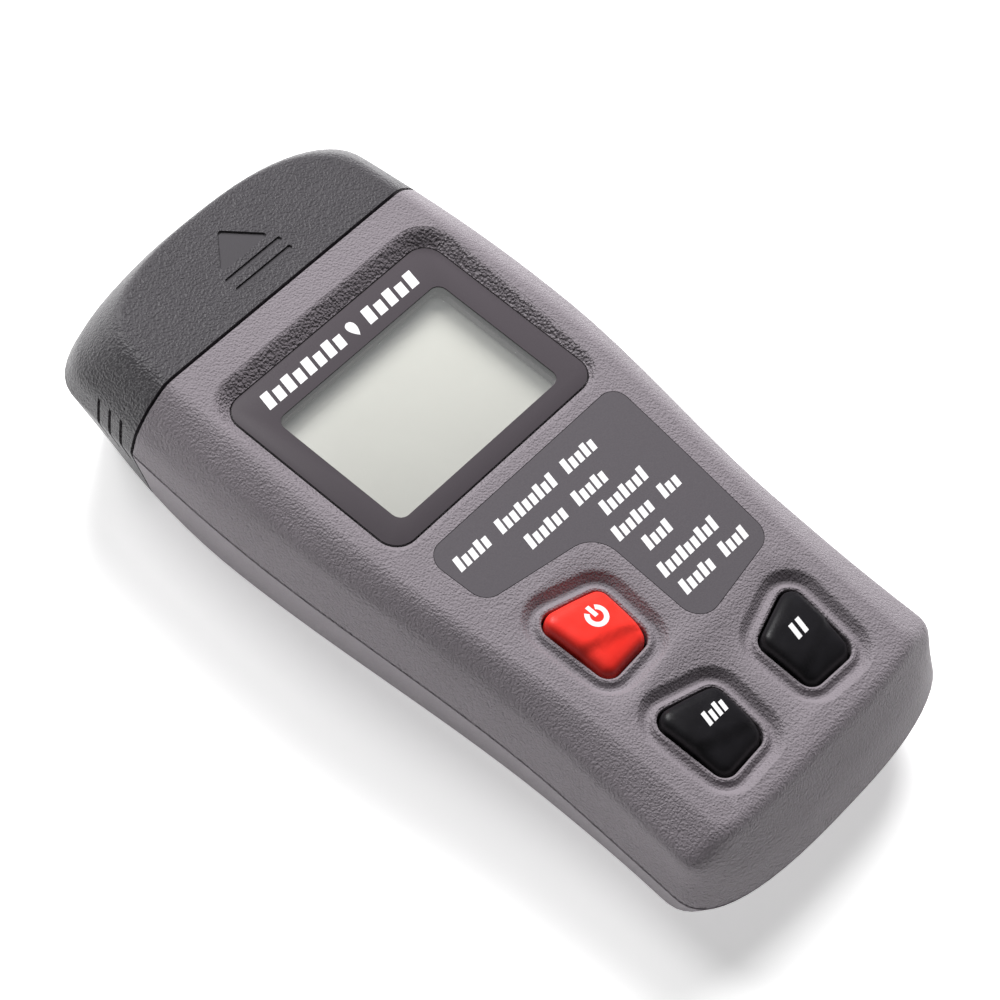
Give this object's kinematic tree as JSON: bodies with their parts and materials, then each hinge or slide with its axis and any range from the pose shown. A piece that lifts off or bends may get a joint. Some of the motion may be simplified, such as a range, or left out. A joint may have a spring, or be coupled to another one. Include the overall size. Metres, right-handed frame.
{
  "type": "moisture meter",
  "caption": "Hand-held two-pin wood moisture meter: curved grey case, charcoal pull-off pin cap, display window, three rubber keys, side label and battery door in the back.",
  "frame": {"origin": "on the table under the middle of the closed meter, which lies on its back", "axes": "+X to the right across the case, +Y along the case towards the pin cap, +Z out of the front face"},
  "size_m": [0.0664, 0.1354, 0.0295],
  "materials": {
    "grey_shell": "warm grey ABS with a fine pebble texture",
    "grey_shell_back": "warm grey ABS with a fine pebble texture",
    "charcoal_cap": "charcoal ABS with a fine pebble texture",
    "clear_lens": "clear acrylic",
    "lens_print": "satin dark grey print under the lens",
    "lcd": "grey-beige reflective liquid crystal glass",
    "white_plastic": "white styrene",
    "conductive_rubber": "layered conductive rubber",
    "circuit_board": "green solder mask on glass epoxy",
    "black_epoxy": "moulded black epoxy",
    "component_metal": "mixed small parts",
    "charcoal_label": "charcoal printed film",
    "dark_silicone": "dark silicone",
    "red_silicone": "red silicone with a white mark",
    "black_silicone": "black silicone with white marks",
    "carbon_pill": "carbon-loaded silicone",
    "black_nylon": "black nylon",
    "brass_post": "turned brass",
    "nickel_nut": "nickel-plated brass",
    "steel_pin": "hardened steel",
    "white_wire": "white PVC insulation",
    "black_wire": "black PVC insulation",
    "red_wire": "red PVC insulation",
    "battery_sleeve": "plain shrink sleeve over a steel can",
    "spring_steel": "nickel-plated spring steel",
    "grey_door": "warm grey ABS with grip ribs",
    "dark_foam": "closed-cell foam",
    "black_screw": "black zinc-plated steel",
    "zinc_screw": "zinc-plated steel"
  },
  "bodies": {
    "case": {"front_shell": "grey_shell", "rear_shell": "grey_shell_back", "display_lens": "clear_lens", "lens_border": "lens_print", "lcd_glass": "lcd", "lcd_frame": "white_plastic", "zebra_strips": "conductive_rubber", "main_board": "circuit_board", "controller_chip": "black_epoxy", "board_components": "component_metal", "wood_label": "charcoal_label", "keypad_mat": "dark_silicone", "pin_block": "black_nylon", "pin_posts": "brass_post", "pin_nuts": "nickel_nut", "probe_pin_left": "steel_pin", "probe_pin_right": "steel_pin", "probe_lead_left": "white_wire", "probe_lead_right": "black_wire", "cell_left": "battery_sleeve", "cell_right": "battery_sleeve", "bridge_contact": "spring_steel", "positive_contact": "spring_steel", "negative_contact": "spring_steel", "contact_springs": "spring_steel", "battery_lead_red": "red_wire", "battery_lead_black": "black_wire", "case_screws": "black_screw", "board_screws": "zinc_screw"},
    "cap": {"pin_cap": "charcoal_cap"},
    "power_button": {"power_key": "red_silicone", "power_pill": "carbon_pill"},
    "mode_button": {"mode_key": "black_silicone", "mode_pill": "carbon_pill"},
    "hold_button": {"hold_key": "black_silicone", "hold_pill": "carbon_pill"},
    "door": {"battery_door": "grey_door", "door_pad": "dark_foam"}
  },
  "joints": [
    {"name": "cap_pull", "type": "slide", "parent": "case", "child": "cap", "axis": [0, 1, 0], "range_m": [0, 0.03]},
    {"name": "power_press", "type": "slide", "parent": "case", "child": "power_button", "axis": [0, 0, -1], "range_m": [0, 0.001], "stiffness_N_per_m": 900, "springref_m": -0.0004},
    {"name": "mode_press", "type": "slide", "parent": "case", "child": "mode_button", "axis": [0, 0, -1], "range_m": [0, 0.001], "stiffness_N_per_m": 900, "springref_m": -0.0004},
    {"name": "hold_press", "type": "slide", "parent": "case", "child": "hold_button", "axis": [0, 0, -1], "range_m": [0, 0.001], "stiffness_N_per_m": 900, "springref_m": -0.0004},
    {"name": "door_swing", "type": "hinge", "parent": "case", "child": "door", "pos_m": [0, -0.049, 0], "axis": [-1, 0, 0], "range_deg": [0, 85]}
  ]
}
